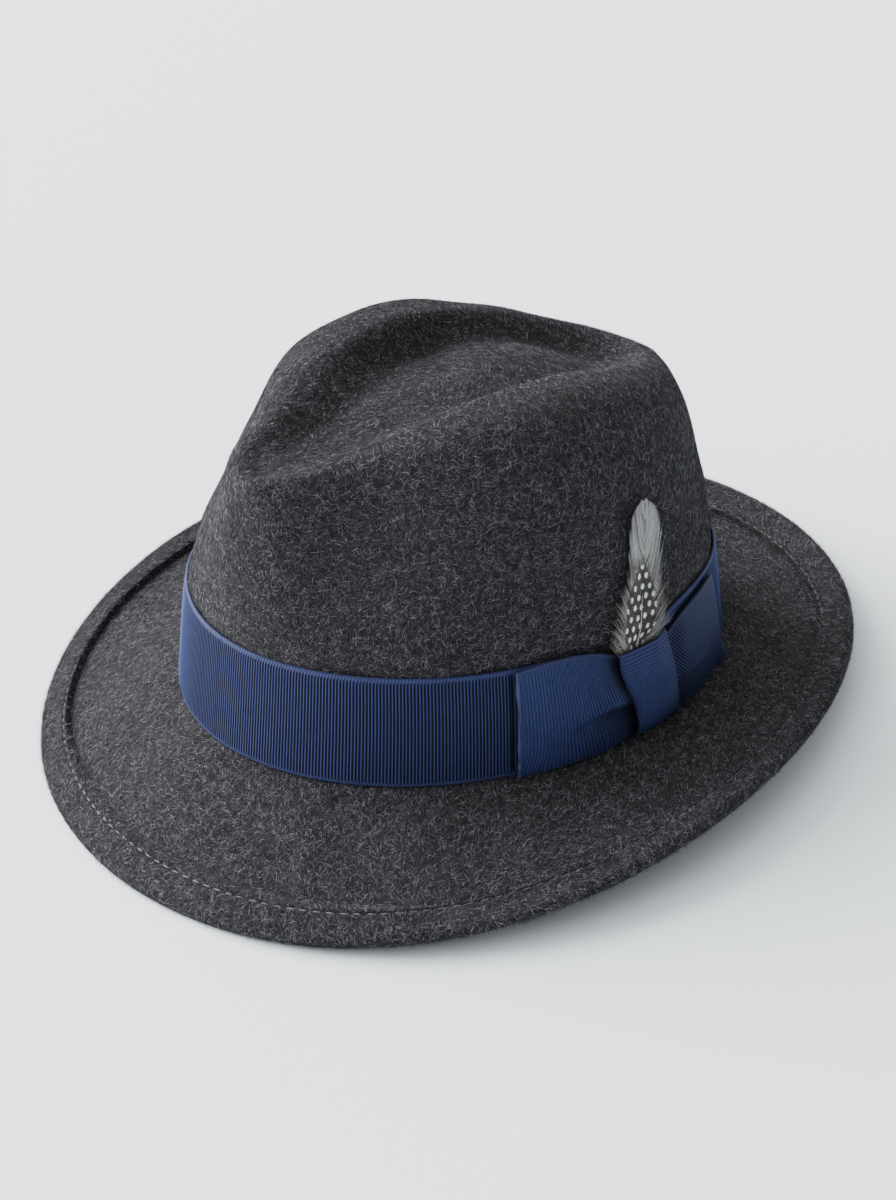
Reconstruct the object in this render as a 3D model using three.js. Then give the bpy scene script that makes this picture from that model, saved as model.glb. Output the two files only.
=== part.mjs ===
// A wool felt fedora: a teardrop crown with two front dents, a snap brim whose
// edge is folded over and stitched down, a ribbon band, a flat bow and two feathers.
// Millimetres, +Z up, the front of the hat towards -Y, the wearer's left towards +X.
import * as THREE from "three";

// Driving dimensions, in millimetres and degrees
const feltThickness = 2.3;
const crownBase = { halfLength: 101.3, halfWidth: 86.9 }; // outside of the felt at the brim
const crest = { halfLength: 83.9, halfWidth: 40.3, back: 0.75 }; // ridge round the teardrop
const wall = { leanLength: 0.72, leanWidth: 0.12, roundness: 2.9 }; // how the wall goes in to the crest
const nose = { narrowing: 0.12, power: 2.5, reach: 1.5 }; // the teardrop's point at the front
const frontDent = { depth: 10.9, turn: 41.6, spread: 24, height: 0.84, reach: 0.25 };
const teardrop = { lip: 0.06, noseLip: 0.05, groove: 0.41, noseGroove: 0.1 }; // shares of the way inwards
const dome = { height: 103.9, back: 16.6 }; // its highest place
const domeFall = [
  // how far the dome has dropped at this reach from its highest place
  { way: "front", reach: 80, drop: 14.8 },
  { way: "back", reach: 50, drop: 18.6 },
  { way: "side", reach: 30, drop: 6.0 },
];
const foldWidth = 9.6; // the brim's edge is turned over onto its top by this much
const foldStep = 0.3; // how far the fold's cut edge leans back
const footDepth = 1.3; // the felt's depth at the crown's foot, in thicknesses
const bandHeight = 38.7;
const bandFoot = 0.4; // the band's lower edge stands this high
const bandDips = [
  // where its upper edge is drawn down: behind the bow, and at the back of the wearer's left
  { turn: 94, depth: 7.5, spread: 9 },
  { turn: 150, depth: 4, spread: 20 },
];
const ribbonThickness = 0.9;
const ribbonGap = 0.35; // between the felt, the band and the bow
const restPitch = 4.57; // the hat's nose stands up by this much when it lies on a table
const pressed = 0.7; // how far the brim flattens where it rests

// The brim and the crest by the turn from the front, alike on both sides
const stations = [
  { turn: 0, brimWidth: 46.4, edgeHeight: -28.3, brimDish: -2.0, crestHeight: 93.7 },
  { turn: 45, brimWidth: 52.6, edgeHeight: -21.1, brimDish: -0.5, crestHeight: 100.7 },
  { turn: 90, brimWidth: 50.4, edgeHeight: -1.9, brimDish: 3.0, crestHeight: 111.7 },
  { turn: 135, brimWidth: 45.4, edgeHeight: 3.3, brimDish: 6.5, crestHeight: 99.0 },
  { turn: 180, brimWidth: 47.3, edgeHeight: 2.9, brimDish: 8.0, crestHeight: 90.9 },
];

// The bow's wings along the band: standing height of their lower and upper edge, and
// how far they puff out from the band between the edges
const wingSections = [
  { turn: 67.9, low: 0.6, high: 38.3, puff: 0.3, pleat: 0.0 },
  { turn: 71.0, low: 0.6, high: 38.9, puff: 1.0, pleat: 0.0 },
  { turn: 75.0, low: 0.6, high: 39.4, puff: 1.8, pleat: 0.3 },
  { turn: 80.0, low: 0.6, high: 38.9, puff: 2.3, pleat: 1.0 },
  { turn: 85.0, low: 0.6, high: 37.0, puff: 2.2, pleat: 1.6 },
  { turn: 89.0, low: 0.8, high: 34.0, puff: 1.4, pleat: 1.6 },
  { turn: 93.0, low: 1.6, high: 31.0, puff: 0.6, pleat: 0.8 },
  { turn: 98.5, low: 2.2, high: 30.4, puff: 0.3, pleat: 0.0 },
  { turn: 104.0, low: 1.2, high: 32.0, puff: 0.7, pleat: 0.7 },
  { turn: 108.0, low: 0.8, high: 34.3, puff: 1.5, pleat: 1.2 },
  { turn: 113.0, low: 0.6, high: 35.7, puff: 2.0, pleat: 1.0 },
  { turn: 119.0, low: 0.6, high: 36.2, puff: 1.6, pleat: 0.4 },
  { turn: 124.0, low: 0.6, high: 36.4, puff: 1.0, pleat: 0.0 },
  { turn: 128.0, low: 0.6, high: 36.4, puff: 0.3, pleat: 0.0 },
];
const rearSlant = { degrees: 3.5, from: 113, to: 128 }; // the rear end's upper corner is drawn back
const pleat = { height: 0.42, spread: 0.1 }; // the crease that runs out of the knot
const wingRoundness = 0.8; // under 1 is fuller towards the wing's two edges

// The knot that wraps the bow, from its top edge to its bottom edge: how far it rounds out
// between its sides, and how far its lower end is drawn in
const knotSections = [
  { height: 35.6, start: 89.2, end: 101.8, lift: 0.0, tuck: 0.0 },
  { height: 32.0, start: 89.2, end: 102.2, lift: 0.6, tuck: 0.0 },
  { height: 24.0, start: 90.4, end: 103.4, lift: 1.0, tuck: 0.0 },
  { height: 17.0, start: 92.0, end: 104.3, lift: 1.0, tuck: 0.0 },
  { height: 10.0, start: 93.0, end: 104.6, lift: 1.0, tuck: 0.0 },
  { height: 4.5, start: 93.5, end: 104.7, lift: 0.5, tuck: 1.0 },
  { height: 2.2, start: 93.6, end: 104.7, lift: 0.0, tuck: 2.1 },
];
const knotOffset = 5.2; // from the felt to the knot's underside
const knotRoundness = 0.5;
const knotRear = { drop: 1.2, from: 0.6 }; // its rear side lies lower, from this share of its width

// The feathers: half width of the vane along the shaft, from the quill to the tip
const quillHalfWidth = 0.4;
const notchedFrom = 2; // the vane's edge is notched where its half width is over this
const vaneThinning = 0.6; // share of the thickness that is gone at the vane's edge
const vaneTilt = 15; // degrees by which its rear side stands off the crown
const vaneFree = { from: 0.2, to: 0.42 }; // where along the shaft the bow lets go of it
const greyFeather = {
  base: { turn: 93.5, height: 29.5 },
  tip: { turn: 102.0, height: 80.5 },
  offset: 3.6,
  standOff: 0,
  thickness: 0.7,
  barbNotch: 0.25,
  vane: [
    { along: 0.0, halfWidth: 0.5 },
    { along: 0.12, halfWidth: 1.3 },
    { along: 0.3, halfWidth: 6.4 },
    { along: 0.5, halfWidth: 7.6 },
    { along: 0.7, halfWidth: 7.2 },
    { along: 0.86, halfWidth: 6.0 },
    { along: 0.95, halfWidth: 3.8 },
    { along: 1.0, halfWidth: 0.5 },
  ],
};
const spottedFeather = {
  base: { turn: 93.3, height: 28.8 },
  tip: { turn: 96.9, height: 62.6 },
  offset: 4.45,
  standOff: 1.0,
  thickness: 0.6,
  barbNotch: 1.3,
  vane: [
    { along: 0.0, halfWidth: 0.5 },
    { along: 0.14, halfWidth: 1.5 },
    { along: 0.24, halfWidth: 8.6 },
    { along: 0.36, halfWidth: 12.2 },
    { along: 0.55, halfWidth: 10.6 },
    { along: 0.75, halfWidth: 7.4 },
    { along: 0.9, halfWidth: 4.0 },
    { along: 1.0, halfWidth: 0.6 },
  ],
};

// How finely the faces are cut
const columns = 64;
const topRows = [0.88, 0.76, 0.64, 0.53, 0.43, 0.34, 0.26, 0.19, 0.13, 0.06];
const wallRows = [90, 76, 64, 53, 43, 34, 26, 18, 10, 4];
const brimRows = [0, 0.12, 0.26, 0.4, 0.53, 0.66];
const foldSteps = 6;
const bandRows = 3;
const ribbonRows = 10;
const knotColumns = 8;
const vaneSteps = 18;

const radians = THREE.MathUtils.degToRad;
const smoothstep = THREE.MathUtils.smoothstep;

// A smooth even curve round the hat through one column of the stations
function aroundHat(column) {
  const last = stations.length - 1;
  const weights = stations.map((_, k) => {
    const sum = stations.reduce((total, row, j) => {
      const share = j === 0 || j === last ? 0.5 : 1;
      return total + share * row[column] * Math.cos((j * k * Math.PI) / last);
    }, 0);
    return ((k === 0 || k === last ? 1 : 2) / last) * sum;
  });
  return (angle) => weights.reduce((total, weight, k) => total + weight * Math.cos(k * angle), 0);
}
const brimWidth = aroundHat("brimWidth");
const edgeHeight = aroundHat("edgeHeight");
const brimDish = aroundHat("brimDish");
const crestHeight = aroundHat("crestHeight");

// 1 at the front of the hat, 0 at its back
const frontShare = (angle) => ((1 + Math.cos(angle)) / 2) ** nose.reach;

// The direction out of the hat's oval at an angle
function outward(angle) {
  const x = Math.sin(angle) / crownBase.halfWidth;
  const y = -Math.cos(angle) / crownBase.halfLength;
  return new THREE.Vector3(x, y, 0).normalize();
}

// How deep the two front dents are at a place on the crown's wall
function dentDepth(angle, rise) {
  const degrees = THREE.MathUtils.radToDeg(angle);
  const across = [1, -1].reduce((total, side) => {
    const away = THREE.MathUtils.euclideanModulo(degrees - side * frontDent.turn + 180, 360) - 180;
    return total + Math.exp(-((away / frontDent.spread) ** 2));
  }, 0);
  return frontDent.depth * across * Math.exp(-(((rise - frontDent.height) / frontDent.reach) ** 2));
}

// The crown's wall, from the brim at rise 0 to the crest at rise 1
function wallPoint(angle, rise) {
  const curl = 1 - (1 - rise ** wall.roundness) ** (1 / wall.roundness);
  const inLength = wall.leanLength * rise + (1 - wall.leanLength) * curl;
  const inWidth = wall.leanWidth * rise + (1 - wall.leanWidth) * curl;
  const halfLength = THREE.MathUtils.lerp(crownBase.halfLength, crest.halfLength, inLength);
  const halfWidth = THREE.MathUtils.lerp(crownBase.halfWidth, crest.halfWidth, inWidth);
  const pinch = 1 - nose.narrowing * rise ** nose.power * frontShare(angle);
  const x = halfWidth * Math.sin(angle) * pinch;
  const y = crest.back * inLength - halfLength * Math.cos(angle);
  const point = new THREE.Vector3(x, y, rise * crestHeight(angle));
  return point.addScaledVector(outward(angle), -dentDepth(angle, rise));
}

// How much lower than its highest place the dome is, at a place on it
function domeDrop(x, y) {
  const [front, back, side] = domeFall.map((fall) => (reach) => fall.drop * (reach / fall.reach) ** 2);
  return (y < dome.back ? front : back)(y - dome.back) + side(x);
}

// The hollow inside the crest with the dome in it, from the crest at 0 to the dome's top at 1
function topPoint(angle, inward) {
  const rim = wallPoint(angle, 1);
  const x = rim.x * (1 - inward);
  const y = THREE.MathUtils.lerp(rim.y, dome.back, inward);
  const lip = teardrop.lip + teardrop.noseLip * frontShare(angle);
  const grooveAt = teardrop.groove + teardrop.noseGroove * frontShare(angle);
  const height = dome.height - domeDrop(x, y);
  return new THREE.Vector3(x, y, THREE.MathUtils.lerp(rim.z, height, smoothstep(inward, lip, grooveAt)));
}

// The brim's top, from the crown at 0 to the middle of its folded edge at 1
function brimPoint(angle, share) {
  const base = wallPoint(angle, 0);
  const sag = brimDish(angle) * 4 * share * (1 - share);
  base.addScaledVector(outward(angle), brimWidth(angle) * share);
  base.z = edgeHeight(angle) * share - sag;
  return base;
}

// The whole sheet's outside in one run: top 0 to 1, wall 1 to 2, brim 2 to 3
function sheetPoint(angle, run) {
  if (run <= 1) return topPoint(angle, 1 - run);
  if (run <= 2) {
    const turn = (2 - run) * (Math.PI / 2);
    return wallPoint(angle, Math.sin(turn) ** (2 / wall.roundness));
  }
  return brimPoint(angle, run - 2);
}

// The direction out of the sheet, up on the brim and on the top
function sheetNormal(angle, run) {
  const step = 0.004;
  const along = sheetPoint(angle, run + step).sub(sheetPoint(angle, run - step));
  const round = sheetPoint(angle + step, run).sub(sheetPoint(angle - step, run));
  return along.cross(round).normalize();
}

const offsetPoint = (angle, run, offset) =>
  sheetPoint(angle, run).addScaledVector(sheetNormal(angle, run), offset);

// One ring of points all round the hat
function ring(place) {
  return Array.from({ length: columns }, (_, column) => place((column / columns) * 2 * Math.PI));
}

// The rings of the felt: over the top, round the folded edge and back along the inside
function feltRings() {
  const middle = new THREE.Vector3(0, dome.back, dome.height);
  const topRuns = topRows.map((inward) => 1 - inward);
  const wallRuns = wallRows.map((degrees) => 2 - degrees / 90);
  const brimRuns = brimRows.map((share) => 2 + share);
  const sheetRuns = [...topRuns, ...wallRuns, ...brimRuns];
  const foldRun = (angle, inset) => 3 - inset / brimWidth(angle);
  const nearEdge = 0.01;

  const outside = sheetRuns.map((run) => ring((angle) => sheetPoint(angle, run)));
  const fold = [
    ring((angle) => sheetPoint(angle, foldRun(angle, foldWidth))),
    ring((angle) => offsetPoint(angle, foldRun(angle, foldWidth - foldStep), feltThickness)),
    ring((angle) => offsetPoint(angle, foldRun(angle, foldWidth / 2), feltThickness)),
  ];
  for (let step = 0; step <= foldSteps; step += 1) {
    const turn = (step / foldSteps) * Math.PI;
    fold.push(
      ring((angle) => {
        const normal = sheetNormal(angle, 3 - nearEdge);
        const point = sheetPoint(angle, 3).addScaledVector(normal, feltThickness * Math.cos(turn));
        const along = normal.clone().cross(outward(angle)).cross(normal).normalize();
        return point.addScaledVector(along, feltThickness * Math.sin(turn));
      }),
    );
  }
  const under = [foldWidth / 2, foldWidth].map((inset) =>
    ring((angle) => offsetPoint(angle, foldRun(angle, inset), -feltThickness)),
  );
  const inside = sheetRuns.toReversed().map((run) => {
    const depth = run === 2 ? feltThickness * footDepth : feltThickness;
    return ring((angle) => offsetPoint(angle, run, -depth));
  });
  const ceiling = middle.clone().setZ(middle.z - feltThickness);
  return [[middle], ...outside, ...fold, ...under, ...inside, [ceiling]];
}

// A closed body from rings of points, whose first and last ring may be single points
function bodyFromRings(rings) {
  const starts = [];
  const points = [];
  for (const one of rings) {
    starts.push(points.length);
    points.push(...one);
  }
  const faces = [];
  for (let row = 0; row + 1 < rings.length; row += 1) {
    const here = rings[row].length;
    const next = rings[row + 1].length;
    const count = Math.max(here, next);
    for (let column = 0; column < count; column += 1) {
      const after = (column + 1) % count;
      const a = starts[row] + (here > 1 ? column : 0);
      const d = starts[row] + (here > 1 ? after : 0);
      const b = starts[row + 1] + (next > 1 ? column : 0);
      const c = starts[row + 1] + (next > 1 ? after : 0);
      if (next > 1) faces.push(a, b, c);
      if (here > 1) faces.push(a, next > 1 ? c : b, d);
    }
  }
  return new THREE.BufferGeometry().setFromPoints(points).setIndex(faces);
}

// Turns a body made in the crown's own frame to the way the hat lies on a table
function layDown(point) {
  return point.applyAxisAngle(new THREE.Vector3(1, 0, 0), radians(-restPitch));
}
const feltRows = feltRings().map((one) => one.map(layDown));
const extent = new THREE.Box3().setFromPoints(feltRows.flat());
const shift = new THREE.Vector3(0, -(extent.min.y + extent.max.y) / 2, -(extent.min.z + pressed));

function feltBody() {
  for (const point of feltRows.flat()) {
    point.add(shift);
    point.z = Math.max(point.z, 0);
  }
  return bodyFromRings(feltRows);
}

const seat = (point) => layDown(point).add(shift);

// A point on the crown at a turn and a height, some way out from the felt
function onCrown(turn, height, offset) {
  const angle = radians(turn);
  const rise = height / crestHeight(angle);
  return wallPoint(angle, Math.max(rise, 0)).addScaledVector(outward(angle), offset);
}

// The ribbon band: a loop round the foot of the crown
function bandBody() {
  const face = (offset) => Array.from({ length: bandRows + 1 }, (_, i) => ring((angle) => {
    const turn = THREE.MathUtils.radToDeg(angle);
    const top = bandDips.reduce(
      (height, dip) => height - dip.depth * Math.exp(-(((turn - dip.turn) / dip.spread) ** 2)),
      bandHeight,
    );
    const height = THREE.MathUtils.lerp(bandFoot, top, i / bandRows);
    return seat(onCrown(turn, height, offset));
  }));
  const inner = face(ribbonGap);
  const outer = face(ribbonGap + ribbonThickness);
  const rings = [...inner, ...outer.toReversed()];
  return bodyFromRings([...rings, rings[0]]);
}

// A sheet with a thickness: two faces of the same grid, closed round their edge
function sheetBody(front, back) {
  const rings = front.map((row, i) => [...row, ...back[i].toReversed()]);
  const body = bodyFromRings(rings);
  const faces = Array.from(body.index.array);
  const width = front[0].length;
  const close = (first, flip) => {
    for (let i = 0; i + 1 < width; i += 1) {
      const [a, b] = [first + i, first + i + 1];
      const [c, d] = [first + 2 * width - 2 - i, first + 2 * width - 1 - i];
      if (flip) faces.push(a, c, b, a, d, c);
      else faces.push(a, b, c, a, c, d);
    }
  };
  close(0, false);
  close((front.length - 1) * 2 * width, true);
  return body.setIndex(faces);
}

// The bow's two wings, one ribbon that narrows where the knot holds it
function wingsBody() {
  const base = ribbonGap + ribbonThickness + ribbonGap;
  const grid = (offset) => wingSections.map((section) => Array.from({ length: ribbonRows + 1 }, (_, i) => {
    const share = i / ribbonRows;
    const swell = section.puff * Math.sin(Math.PI * share) ** wingRoundness;
    const crease = section.pleat * Math.exp(-(((share - pleat.height) / pleat.spread) ** 2));
    const height = THREE.MathUtils.lerp(section.low, section.high, share);
    const slant = rearSlant.degrees * smoothstep(section.turn, rearSlant.from, rearSlant.to);
    const turn = section.turn - slant * share;
    return seat(onCrown(turn, height, base + offset + Math.max(swell - crease, 0)));
  }));
  return sheetBody(grid(ribbonThickness), grid(0));
}

// The knot: a short wrap across the wings
function knotBody() {
  const grid = (offset) => knotSections.map((section) => Array.from({ length: knotColumns + 1 }, (_, i) => {
    const share = i / knotColumns;
    const turn = THREE.MathUtils.lerp(section.start, section.end, share);
    const round = section.lift * Math.sin(Math.PI * share) ** knotRoundness;
    const drop = knotRear.drop * smoothstep(share, knotRear.from, 1) * (1 - section.tuck / knotRear.drop);
    const lift = round - section.tuck - Math.max(drop, 0);
    return seat(onCrown(turn, section.height, knotOffset + offset + lift));
  }));
  return sheetBody(grid(ribbonThickness), grid(0));
}

// A feather: a thin blade along its shaft, its edge notched where the barbs part
function featherBody(feather) {
  const curve = new THREE.CatmullRomCurve3(
    feather.vane.map((row) => new THREE.Vector3(row.along, row.halfWidth, 0)),
  );
  const across = [-1, -0.5, 0, 0.5, 1]; // from the left edge of the vane to the right
  const grid = (side) => Array.from({ length: vaneSteps + 1 }, (_, step) => {
    const { x: along, y } = curve.getPoint(step / vaneSteps);
    const notch = step % 2 === 1 && y > notchedFrom ? feather.barbNotch : 0;
    const halfWidth = Math.max(y - notch, quillHalfWidth);
    const turn = THREE.MathUtils.lerp(feather.base.turn, feather.tip.turn, along);
    const height = THREE.MathUtils.lerp(feather.base.height, feather.tip.height, along);
    const free = smoothstep(along, vaneFree.from, vaneFree.to);
    const tilt = radians(vaneTilt) * free;
    const round = new THREE.Vector3(0, 0, 1).cross(outward(radians(turn))).normalize();
    return across.map((share) => {
      const thick = ((side * feather.thickness) / 2) * (1 - vaneThinning * share * share);
      const lift = share * halfWidth * Math.sin(tilt);
      const offset = feather.offset + feather.standOff * free + thick + lift;
      const point = onCrown(turn, height, offset);
      return seat(point.addScaledVector(round, share * halfWidth * Math.cos(tilt)));
    });
  });
  return sheetBody(grid(-1), grid(1));
}

const feltCloth = new THREE.MeshStandardMaterial({ color: "#3f4044", roughness: 0.95, metalness: 0 });
const navyRibbon = new THREE.MeshStandardMaterial({ color: "#22305f", roughness: 0.7, metalness: 0 });
const greyVane = new THREE.MeshStandardMaterial({ color: "#8c8c8e", roughness: 0.6, metalness: 0 });
const darkVane = new THREE.MeshStandardMaterial({ color: "#4a4844", roughness: 0.6, metalness: 0 });

const hat = new THREE.Group();
function add(name, geometry, material) {
  geometry.computeVertexNormals();
  const mesh = new THREE.Mesh(geometry, material.clone());
  mesh.name = name;
  hat.add(mesh);
}
add("felt_body", feltBody(), feltCloth);
add("ribbon_band", bandBody(), navyRibbon);
add("bow_wings", wingsBody(), navyRibbon);
add("bow_knot", knotBody(), navyRibbon);
add("grey_feather", featherBody(greyFeather), greyVane);
add("spotted_feather", featherBody(spottedFeather), darkVane);

export default hat;
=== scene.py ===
import math

import bmesh
import bpy
import numpy as np
from mathutils import Matrix, Vector


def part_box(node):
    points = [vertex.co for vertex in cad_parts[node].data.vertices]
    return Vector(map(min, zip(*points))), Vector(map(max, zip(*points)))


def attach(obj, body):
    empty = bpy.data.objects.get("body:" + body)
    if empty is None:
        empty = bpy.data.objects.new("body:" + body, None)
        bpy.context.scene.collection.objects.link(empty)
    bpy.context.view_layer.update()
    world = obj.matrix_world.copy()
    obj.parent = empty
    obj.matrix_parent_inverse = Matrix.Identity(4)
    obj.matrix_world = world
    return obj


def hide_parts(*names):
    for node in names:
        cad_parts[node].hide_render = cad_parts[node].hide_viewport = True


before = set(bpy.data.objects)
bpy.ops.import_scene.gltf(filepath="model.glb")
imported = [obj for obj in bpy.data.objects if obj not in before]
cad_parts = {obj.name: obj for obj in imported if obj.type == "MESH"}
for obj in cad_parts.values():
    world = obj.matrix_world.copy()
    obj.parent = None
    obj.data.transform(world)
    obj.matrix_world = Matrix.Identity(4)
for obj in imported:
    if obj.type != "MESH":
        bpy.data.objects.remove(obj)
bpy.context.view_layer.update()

mm = 0.001
seed = 11

feltShape = {
    "thickness": 2.3,
    "footLength": 101.3, "footWidth": 86.9,  # half the crown's oval at the brim
    "crestLength": 83.9, "crestWidth": 40.3, "crestBack": 0.75,  # half the ridge round the teardrop
    "leanLength": 0.72, "leanWidth": 0.12, "roundness": 2.9,  # how the wall goes in to the crest
    "noseNarrowing": 0.12, "nosePower": 2.5, "noseReach": 1.5,
    "dentDepth": 10.9, "dentTurn": 41.6, "dentSpread": 24, "dentHeight": 0.84, "dentReach": 0.25,
    "lip": 0.045, "noseLip": 0.05, "groove": 0.4, "noseGroove": 0.1,
    "domeHeight": 103.9, "domeBack": 16.6, "domeFront": 14.8 / 80 ** 2, "domeRear": 18.6 / 50 ** 2,
    "domeSide": 6.0 / 30 ** 2,
    "foldWidth": 8.2, "stitchInset": 7.3, "stitchDip": 0.5,
    "pressedTurn": 14, "pressedFull": 26, "pressedNone": 50,  # degrees
    "restPitch": 4.57,
    "columns": 256,
    "topRows": 44, "wallRows": 56, "brimRows": 23, "bendRows": 14, "underRows": 16, "innerRows": 34,
}


def table(columns, rows):
    names = columns.split()
    return [dict(zip(names, row)) for row in rows]


stations = table("turn brimWidth edgeHeight brimDish crestHeight", [  # degrees from the front, then mm
    (0, 46.4, -28.3, -2.0, 93.7),
    (45, 52.6, -21.1, -0.5, 100.7),
    (90, 50.4, -1.9, 3.0, 111.7),
    (135, 45.4, 3.3, 6.5, 99.0),
    (180, 47.3, 2.9, 8.0, 90.9),
])


def aroundHat(column):  # a smooth, even curve round the hat through one column
    rows = [station[column] for station in stations]
    last = len(rows) - 1
    weights = []
    for k in range(last + 1):
        share = [0.5 if j in (0, last) else 1 for j in range(last + 1)]
        total = sum(share[j] * rows[j] * math.cos(j * k * math.pi / last) for j in range(last + 1))
        weights.append((1 if k in (0, last) else 2) / last * total)
    return lambda angle: sum(weight * np.cos(k * angle) for k, weight in enumerate(weights))


brimWidth = aroundHat("brimWidth")
edgeHeight = aroundHat("edgeHeight")
brimDish = aroundHat("brimDish")
crestHeight = aroundHat("crestHeight")


def smoothstep(x, low, high):
    t = np.clip((x - low) / (high - low), 0, 1)
    return t * t * (3 - 2 * t)


def fading(x, low, high):
    return 1 - smoothstep(x, low, high)


def bell(x, middle, spread):
    return np.exp(-(((x - middle) / spread) ** 2))


def normalized(vectors):
    return vectors / np.maximum(np.linalg.norm(vectors, axis=-1, keepdims=True), 1e-9)


def outward(angle):
    x = np.sin(angle) / feltShape["footWidth"]
    y = -np.cos(angle) / feltShape["footLength"]
    return normalized(np.stack([x, y, np.zeros_like(x)], -1))


def frontShare(angle):
    return ((1 + np.cos(angle)) / 2) ** feltShape["noseReach"]


def wallPoint(angle, rise):  # from the brim at rise 0 to the crest at rise 1
    s = feltShape
    curl = 1 - (1 - rise ** s["roundness"]) ** (1 / s["roundness"])
    inLength = s["leanLength"] * rise + (1 - s["leanLength"]) * curl
    inWidth = s["leanWidth"] * rise + (1 - s["leanWidth"]) * curl
    halfLength = s["footLength"] + (s["crestLength"] - s["footLength"]) * inLength
    halfWidth = s["footWidth"] + (s["crestWidth"] - s["footWidth"]) * inWidth
    pinch = 1 - s["noseNarrowing"] * rise ** s["nosePower"] * frontShare(angle)
    x = halfWidth * np.sin(angle) * pinch
    y = s["crestBack"] * inLength - halfLength * np.cos(angle)
    degrees = np.degrees(angle)
    across = 0
    for side in (1, -1):
        away = (degrees - side * s["dentTurn"] + 180) % 360 - 180
        across = across + bell(away, 0, s["dentSpread"])
    dent = s["dentDepth"] * across * bell(rise, s["dentHeight"], s["dentReach"])
    return np.stack([x, y, rise * crestHeight(angle)], -1) - outward(angle) * dent[..., None]


def topPoint(angle, inward):  # from the crest at 0 to the middle of the dome at 1
    s = feltShape
    rim = wallPoint(angle, np.ones_like(angle))
    x = rim[..., 0] * (1 - inward)
    y = rim[..., 1] + (s["domeBack"] - rim[..., 1]) * inward
    lip = s["lip"] + s["noseLip"] * frontShare(angle)
    groove = s["groove"] + s["noseGroove"] * frontShare(angle)
    back = y - s["domeBack"]
    fall = np.where(back < 0, s["domeFront"], s["domeRear"]) * back ** 2 + s["domeSide"] * x ** 2
    dome = s["domeHeight"] - fall
    return np.stack([x, y, rim[..., 2] + (dome - rim[..., 2]) * smoothstep(inward, lip, groove)], -1)


def brimPoint(angle, share):  # from the crown at 0 to the middle of the folded edge at 1
    base = wallPoint(angle, np.zeros_like(angle)) + outward(angle) * (brimWidth(angle) * share)[..., None]
    base[..., 2] = edgeHeight(angle) * share - brimDish(angle) * 4 * share * (1 - share)
    return base


def sheetPoint(angle, run):  # the whole sheet in one run: top 0 to 1, wall 1 to 2, brim 2 to 3
    angle, run = np.broadcast_arrays(np.asarray(angle, float), np.asarray(run, float))
    rise = np.sin(np.clip(2 - run, 0, 1) * math.pi / 2) ** (2 / feltShape["roundness"])
    top = topPoint(angle, np.clip(1 - run, 0, 1))
    wall = wallPoint(angle, np.clip(rise, 0, 1))
    brim = brimPoint(angle, run - 2)
    return np.where((run <= 1)[..., None], top, np.where((run <= 2)[..., None], wall, brim))


def sheetNormal(angle, run):
    step = 0.004
    along = sheetPoint(angle, run + step) - sheetPoint(angle, run - step)
    sideways = sheetPoint(angle + step, run) - sheetPoint(angle - step, run)
    atMiddle = (np.asarray(run, float) < 0.006)[..., None]
    return np.where(atMiddle, (0.0, 0.0, 1.0), normalized(np.cross(along, sideways)))


def onCrown(turn, height, offset):  # a place on the crown at a turn in degrees and a height
    angle = np.radians(turn)
    angle, height = np.broadcast_arrays(angle, np.asarray(height, float))
    rise = np.maximum(height / crestHeight(angle), 0)
    return wallPoint(angle, rise) + outward(angle) * np.asarray(offset)[..., None]


pitch = math.radians(-feltShape["restPitch"])
layTurn = np.array(Matrix.Rotation(pitch, 3, "X"))
layShift = np.zeros(3)


def laid(points):  # from the crown's frame in millimetres to the row frame in metres
    return (np.asarray(points) @ layTurn.T + layShift) * mm


def newObject(name, mesh, material):
    piece = bpy.data.objects.new(name, mesh)
    bpy.context.scene.collection.objects.link(piece)
    mesh.materials.append(material)
    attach(piece, "root")
    return piece


def finishMesh(bm, name):
    bmesh.ops.remove_doubles(bm, verts=bm.verts, dist=2e-6)
    bmesh.ops.recalc_face_normals(bm, faces=bm.faces)
    for face in bm.faces:
        face.smooth = True
    mesh = bpy.data.meshes.new(name)
    bm.to_mesh(mesh)
    bm.free()
    return mesh


def arrayMesh(name, points, faces, smooth=False):  # many small things joined from arrays
    mesh = bpy.data.meshes.new(name)
    points = np.asarray(points, np.float32).reshape(-1, 3)
    faces = np.asarray(faces, np.int32)
    mesh.vertices.add(len(points))
    mesh.vertices.foreach_set("co", points.ravel())
    mesh.loops.add(faces.size)
    mesh.loops.foreach_set("vertex_index", faces.ravel())
    mesh.polygons.add(len(faces))
    mesh.polygons.foreach_set("loop_start", np.arange(0, faces.size, faces.shape[1], dtype=np.int32))
    mesh.polygons.foreach_set("use_smooth", np.full(len(faces), smooth))
    mesh.update()
    mesh.validate()
    return mesh


# Shader helpers

def addNode(tree, kind, **settings):
    node = tree.nodes.new(kind)
    for name, value in settings.items():
        setattr(node, name, value)
    return node


def feed(tree, node, socket, value):
    if isinstance(value, bpy.types.NodeSocket):
        tree.links.new(value, node.inputs[socket])
    else:
        node.inputs[socket].default_value = value


def mathNode(tree, operation, *values):
    node = addNode(tree, "ShaderNodeMath", operation=operation)
    for index, value in enumerate(values):
        feed(tree, node, index, value)
    return node.outputs[0]


def times(tree, a, b):
    return mathNode(tree, "MULTIPLY", a, b)


def mapRange(tree, value, low, high, newLow=0.0, newHigh=1.0, smooth=False):
    node = addNode(tree, "ShaderNodeMapRange", interpolation_type="SMOOTHSTEP" if smooth else "LINEAR")
    sockets = ("Value", "From Min", "From Max", "To Min", "To Max")
    for socket, given in zip(sockets, (value, low, high, newLow, newHigh)):
        feed(tree, node, socket, given)
    return node.outputs[0]


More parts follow.
